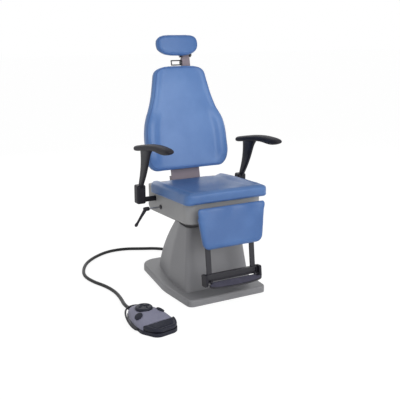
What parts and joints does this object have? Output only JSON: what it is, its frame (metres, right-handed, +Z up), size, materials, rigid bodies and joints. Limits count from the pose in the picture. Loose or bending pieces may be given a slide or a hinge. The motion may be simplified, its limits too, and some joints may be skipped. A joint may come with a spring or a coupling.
{
  "type": "powered examination chair",
  "caption": "Powered ENT examination chair on a lifting, swivelling pedestal, with reclining back, coupled legrest, swing-up armrests, sliding headrest and a wired foot switch.",
  "frame": {"origin": "on the floor under the seat's swivel axis, at the underside of the base plate", "axes": "+Z up, -Y the way the sitter faces, +X to the sitter's left"},
  "size_m": [1.0132, 1.3543, 1.4479],
  "materials": {
    "upholstery_blue": "soft satin synthetic leather, moulded over foam",
    "leg_upholstery": "soft satin synthetic leather, moulded over foam",
    "cover_grey": "satin moulded grey cover",
    "housing_grey": "satin moulded grey cover",
    "shell_grey": "satin moulded rear shell",
    "steel_grey": "grey paint",
    "steel_black": "black powder coat",
    "black_plastic": "black moulded plastic, satin",
    "arm_foam": "black integral-skin foam",
    "tread_rubber": "ribbed black rubber",
    "bright_steel": "bright steel",
    "switch_grey": "light grey moulded plastic",
    "switch_dark": "dark grey moulded plastic",
    "cable_black": "black cable jacket",
    "board_wood": "plywood, covered",
    "circuit_green": "circuit board"
  },
  "bodies": {
    "base": {"base_plate": "steel_grey", "base_cover": "cover_grey", "lift_outer_tube": "steel_grey", "column_screws": "bright_steel", "lift_actuator": "steel_black", "control_box": "black_plastic", "cable_gland": "black_plastic", "foot_cable": "cable_black", "switch_base": "switch_dark", "switch_shell": "switch_grey", "switch_board": "circuit_green", "pedal_bearings": "switch_dark", "switch_gland": "switch_dark"},
    "lift": {"lift_inner_tube": "steel_grey", "slide_pads": "black_plastic", "lift_rod": "bright_steel", "lift_sleeve": "steel_grey", "swivel_plate": "steel_grey", "thrust_bearing": "bright_steel"},
    "seat": {"seat_housing": "housing_grey", "seat_frame": "steel_grey", "seat_board": "board_wood", "seat_cushion": "upholstery_blue", "recline_gearmotor": "steel_black", "arm_shafts": "black_plastic", "leg_pins": "bright_steel", "lock_bush": "black_plastic", "brake_shoe": "steel_black"},
    "lock": {"lock_rod": "bright_steel", "lock_handle": "black_plastic"},
    "back": {"back_cushion": "upholstery_blue", "back_shell": "shell_grey", "back_bracket": "steel_grey", "recline_shaft": "bright_steel", "headrest_guides": "steel_grey"},
    "headrest": {"headrest_bar": "bright_steel", "headrest_block": "steel_grey", "head_pin": "bright_steel"},
    "release": {"release_wire": "steel_black"},
    "head": {"head_pad": "upholstery_blue", "head_plate": "steel_black"},
    "leg": {"leg_pad": "leg_upholstery", "leg_frame": "steel_grey", "leg_struts": "steel_black", "foot_bar": "steel_black", "foot_caps": "black_plastic"},
    "footplate": {"footplate": "black_plastic", "foot_tread": "tread_rubber"},
    "arm_left": {"arm_block_left": "black_plastic", "arm_stem_left": "steel_black", "arm_pad_left": "arm_foam"},
    "arm_right": {"arm_block_right": "black_plastic", "arm_stem_right": "steel_black", "arm_pad_right": "arm_foam"},
    "pedal": {"pedal": "switch_dark"},
    "gimbal": {"rocker_gimbal": "switch_dark"},
    "rocker": {"rocker": "switch_dark"},
    "button_left": {"side_button_left": "switch_dark"},
    "button_right": {"side_button_right": "switch_dark"},
    "bail": {"bail": "steel_black"}
  },
  "joints": [
    {"name": "lift_slide", "type": "slide", "parent": "base", "child": "lift", "axis": [0, 0, 1], "range_m": [0, 0.2]},
    {"name": "seat_swivel", "type": "hinge", "parent": "lift", "child": "seat", "pos_m": [0, 0, 0.448], "axis": [0, 0, 1], "range_deg": [-175, 175]},
    {"name": "back_recline", "type": "hinge", "parent": "seat", "child": "back", "pos_m": [0, 0.20346, 0.56413], "axis": [-1, 0, 0], "range_deg": [0, 70]},
    {"name": "leg_raise", "type": "hinge", "parent": "seat", "child": "leg", "pos_m": [0, -0.33061, 0.52839], "axis": [-1, 0, 0], "range_deg": [0, 75]},
    {"name": "footplate_fold", "type": "hinge", "parent": "leg", "child": "footplate", "pos_m": [0, -0.37121, 0.14851], "axis": [-1, 0, 0], "range_deg": [0, 88]},
    {"name": "arm_left_swing", "type": "hinge", "parent": "seat", "child": "arm_left", "pos_m": [0.339, 0.12561, 0.52349], "axis": [-1, 0, 0], "range_deg": [0, 90]},
    {"name": "arm_right_swing", "type": "hinge", "parent": "seat", "child": "arm_right", "pos_m": [-0.339, 0.12561, 0.52349], "axis": [-1, 0, 0], "range_deg": [0, 90]},
    {"name": "lock_turn", "type": "hinge", "parent": "seat", "child": "lock", "pos_m": [-0.3, 0.04894, 0.4868], "axis": [1, 0, 0], "range_deg": [-30, 40]},
    {"name": "headrest_slide", "type": "slide", "parent": "back", "child": "headrest", "axis": [0, 0.2215, 0.9751], "range_m": [0, 0.1]},
    {"name": "head_tilt", "type": "hinge", "parent": "headrest", "child": "head", "pos_m": [0.069, 0.33602, 1.32364], "axis": [1, 0, 0], "range_deg": [-20, 35]},
    {"name": "release_lever", "type": "hinge", "parent": "headrest", "child": "release", "pos_m": [0.05, 0.33128, 1.28472], "axis": [1, 0, 0], "range_deg": [0, 20], "stiffness_Nm_per_rad": 0.4},
    {"name": "pedal_press", "type": "hinge", "parent": "base", "child": "pedal", "pos_m": [-0.51345, -0.47681, 0.034], "axis": [0.9848, 0.1736, 0], "range_deg": [0, 2.5], "stiffness_Nm_per_rad": 30, "springref_deg": -1.15},
    {"name": "gimbal_tilt", "type": "hinge", "parent": "base", "child": "gimbal", "pos_m": [-0.53534, -0.35273, 0.054], "axis": [-0.1736, 0.9848, 0], "range_deg": [-3.5, 3.5], "stiffness_Nm_per_rad": 5},
    {"name": "rocker_tilt", "type": "hinge", "parent": "gimbal", "child": "rocker", "pos_m": [-0.53534, -0.35273, 0.054], "axis": [0.9848, 0.1736, 0], "range_deg": [-3.5, 3.5], "stiffness_Nm_per_rad": 5},
    {"name": "button_left_press", "type": "slide", "parent": "base", "child": "button_left", "axis": [0, 0, -1], "range_m": [0, 0.003], "stiffness_N_per_m": 800, "springref_m": -0.0005},
    {"name": "button_right_press", "type": "slide", "parent": "base", "child": "button_right", "axis": [0, 0, -1], "range_m": [0, 0.003], "stiffness_N_per_m": 800, "springref_m": -0.0005},
    {"name": "bail_swing", "type": "hinge", "parent": "base", "child": "bail", "pos_m": [-0.52005, -0.43939, 0.012], "axis": [0.9848, 0.1736, 0], "range_deg": [0, 80]}
  ],
  "couplings": [
    {"joint": "leg_raise", "follows": "back_recline", "ratio": 1.0714}
  ]
}
